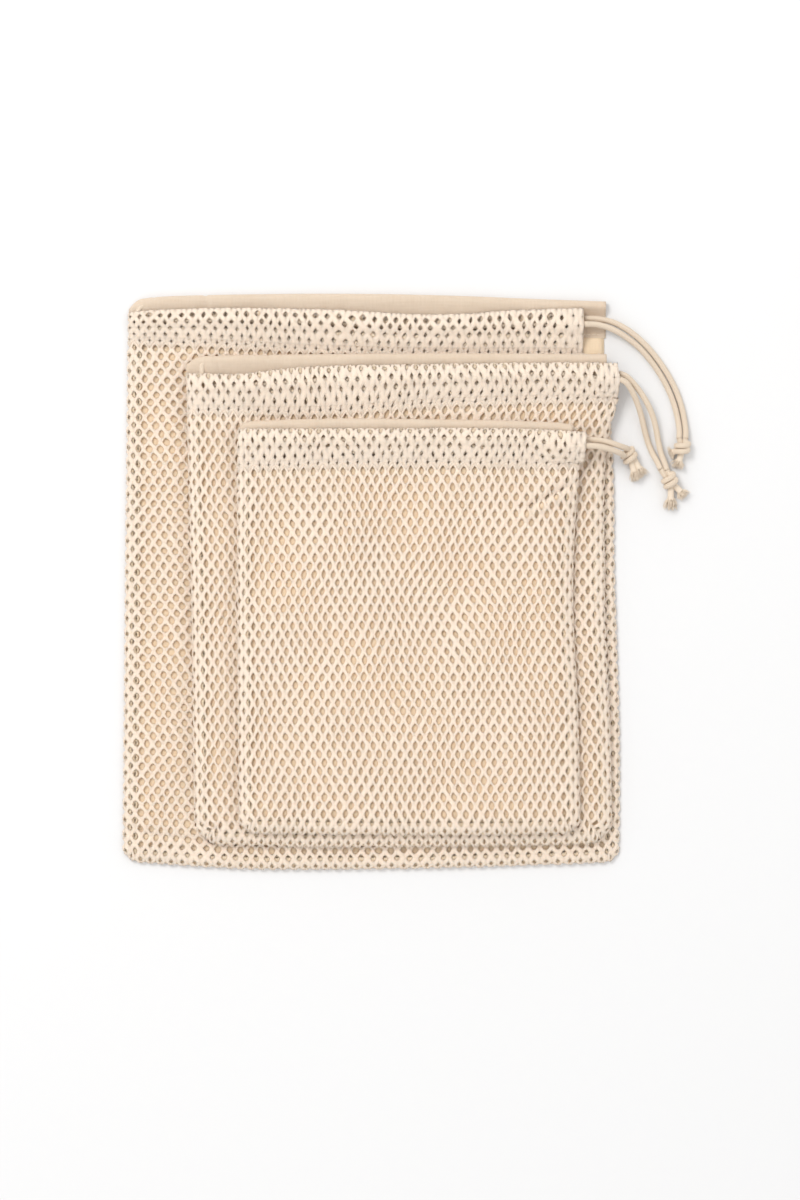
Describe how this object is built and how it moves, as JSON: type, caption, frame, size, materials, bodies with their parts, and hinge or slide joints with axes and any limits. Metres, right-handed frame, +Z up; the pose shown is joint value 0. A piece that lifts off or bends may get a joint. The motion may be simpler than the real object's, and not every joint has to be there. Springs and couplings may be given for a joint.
{
  "type": "mesh laundry bag",
  "caption": "Flat mesh laundry bags with woven backs and drawstring mouths, laid one on another in falling sizes.",
  "frame": {"origin": "centre of the large bag on the surface that the set lies on", "axes": "+X to the side where the drawcords leave, +Y towards the mouths, +Z up through the stack"},
  "size_m": [0.3414, 0.348, 0.0244],
  "materials": {
    "muslin": "unbleached plain-woven cotton",
    "net": "knotted cotton net, matte",
    "seam_allowance": "raw folded cotton edges",
    "thread": "cotton sewing thread",
    "drawcord": "braided cotton cord, matte"
  },
  "bodies": {
    "large_bag": {"large_back_panel": "muslin", "large_back_casing": "muslin", "large_back_hem_stitch": "thread", "large_front_net": "net", "large_front_casing": "net", "large_front_hem_stitch": "thread", "large_left_seam": "seam_allowance", "large_right_seam": "seam_allowance", "large_bottom_seam": "seam_allowance"},
    "large_cord": {"large_cord_run": "drawcord", "large_cord_upper_leg": "drawcord", "large_cord_lower_leg": "drawcord", "large_cord_knot": "drawcord", "large_cord_frayed_ends": "drawcord"},
    "medium_bag": {"medium_back_panel": "muslin", "medium_back_casing": "muslin", "medium_back_hem_stitch": "thread", "medium_front_net": "net", "medium_front_casing": "net", "medium_front_hem_stitch": "thread", "medium_left_seam": "seam_allowance", "medium_right_seam": "seam_allowance", "medium_bottom_seam": "seam_allowance"},
    "medium_cord": {"medium_cord_run": "drawcord", "medium_cord_upper_leg": "drawcord", "medium_cord_lower_leg": "drawcord", "medium_cord_knot": "drawcord", "medium_cord_frayed_ends": "drawcord"},
    "small_bag": {"small_back_panel": "muslin", "small_back_casing": "muslin", "small_back_hem_stitch": "thread", "small_front_net": "net", "small_front_casing": "net", "small_front_hem_stitch": "thread", "small_left_seam": "seam_allowance", "small_right_seam": "seam_allowance", "small_bottom_seam": "seam_allowance"},
    "small_cord": {"small_cord_run": "drawcord", "small_cord_upper_leg": "drawcord", "small_cord_lower_leg": "drawcord", "small_cord_knot": "drawcord", "small_cord_frayed_ends": "drawcord"}
  },
  "joints": [
    {"name": "large_cord_pull", "type": "slide", "parent": "large_bag", "child": "large_cord", "axis": [1, 0, 0], "range_m": [0, 0.06], "deforming": ["large_cord_run", "large_cord_upper_leg", "large_cord_lower_leg"]},
    {"name": "medium_cord_pull", "type": "slide", "parent": "medium_bag", "child": "medium_cord", "axis": [0.9848, 0, 0.174], "range_m": [0, 0.05], "deforming": ["medium_cord_run", "medium_cord_upper_leg", "medium_cord_lower_leg"]},
    {"name": "small_cord_pull", "type": "slide", "parent": "small_bag", "child": "small_cord", "axis": [0.866, 0, 0.5], "range_m": [0, 0.04], "deforming": ["small_cord_run", "small_cord_upper_leg", "small_cord_lower_leg"]},
    {"name": "medium_bag_lift", "type": "slide", "parent": "large_bag", "child": "medium_bag", "axis": [0, 0, 1], "range_m": [0, 0.06]},
    {"name": "small_bag_lift", "type": "slide", "parent": "medium_bag", "child": "small_bag", "axis": [0, 0, 1], "range_m": [0, 0.06]}
  ]
}
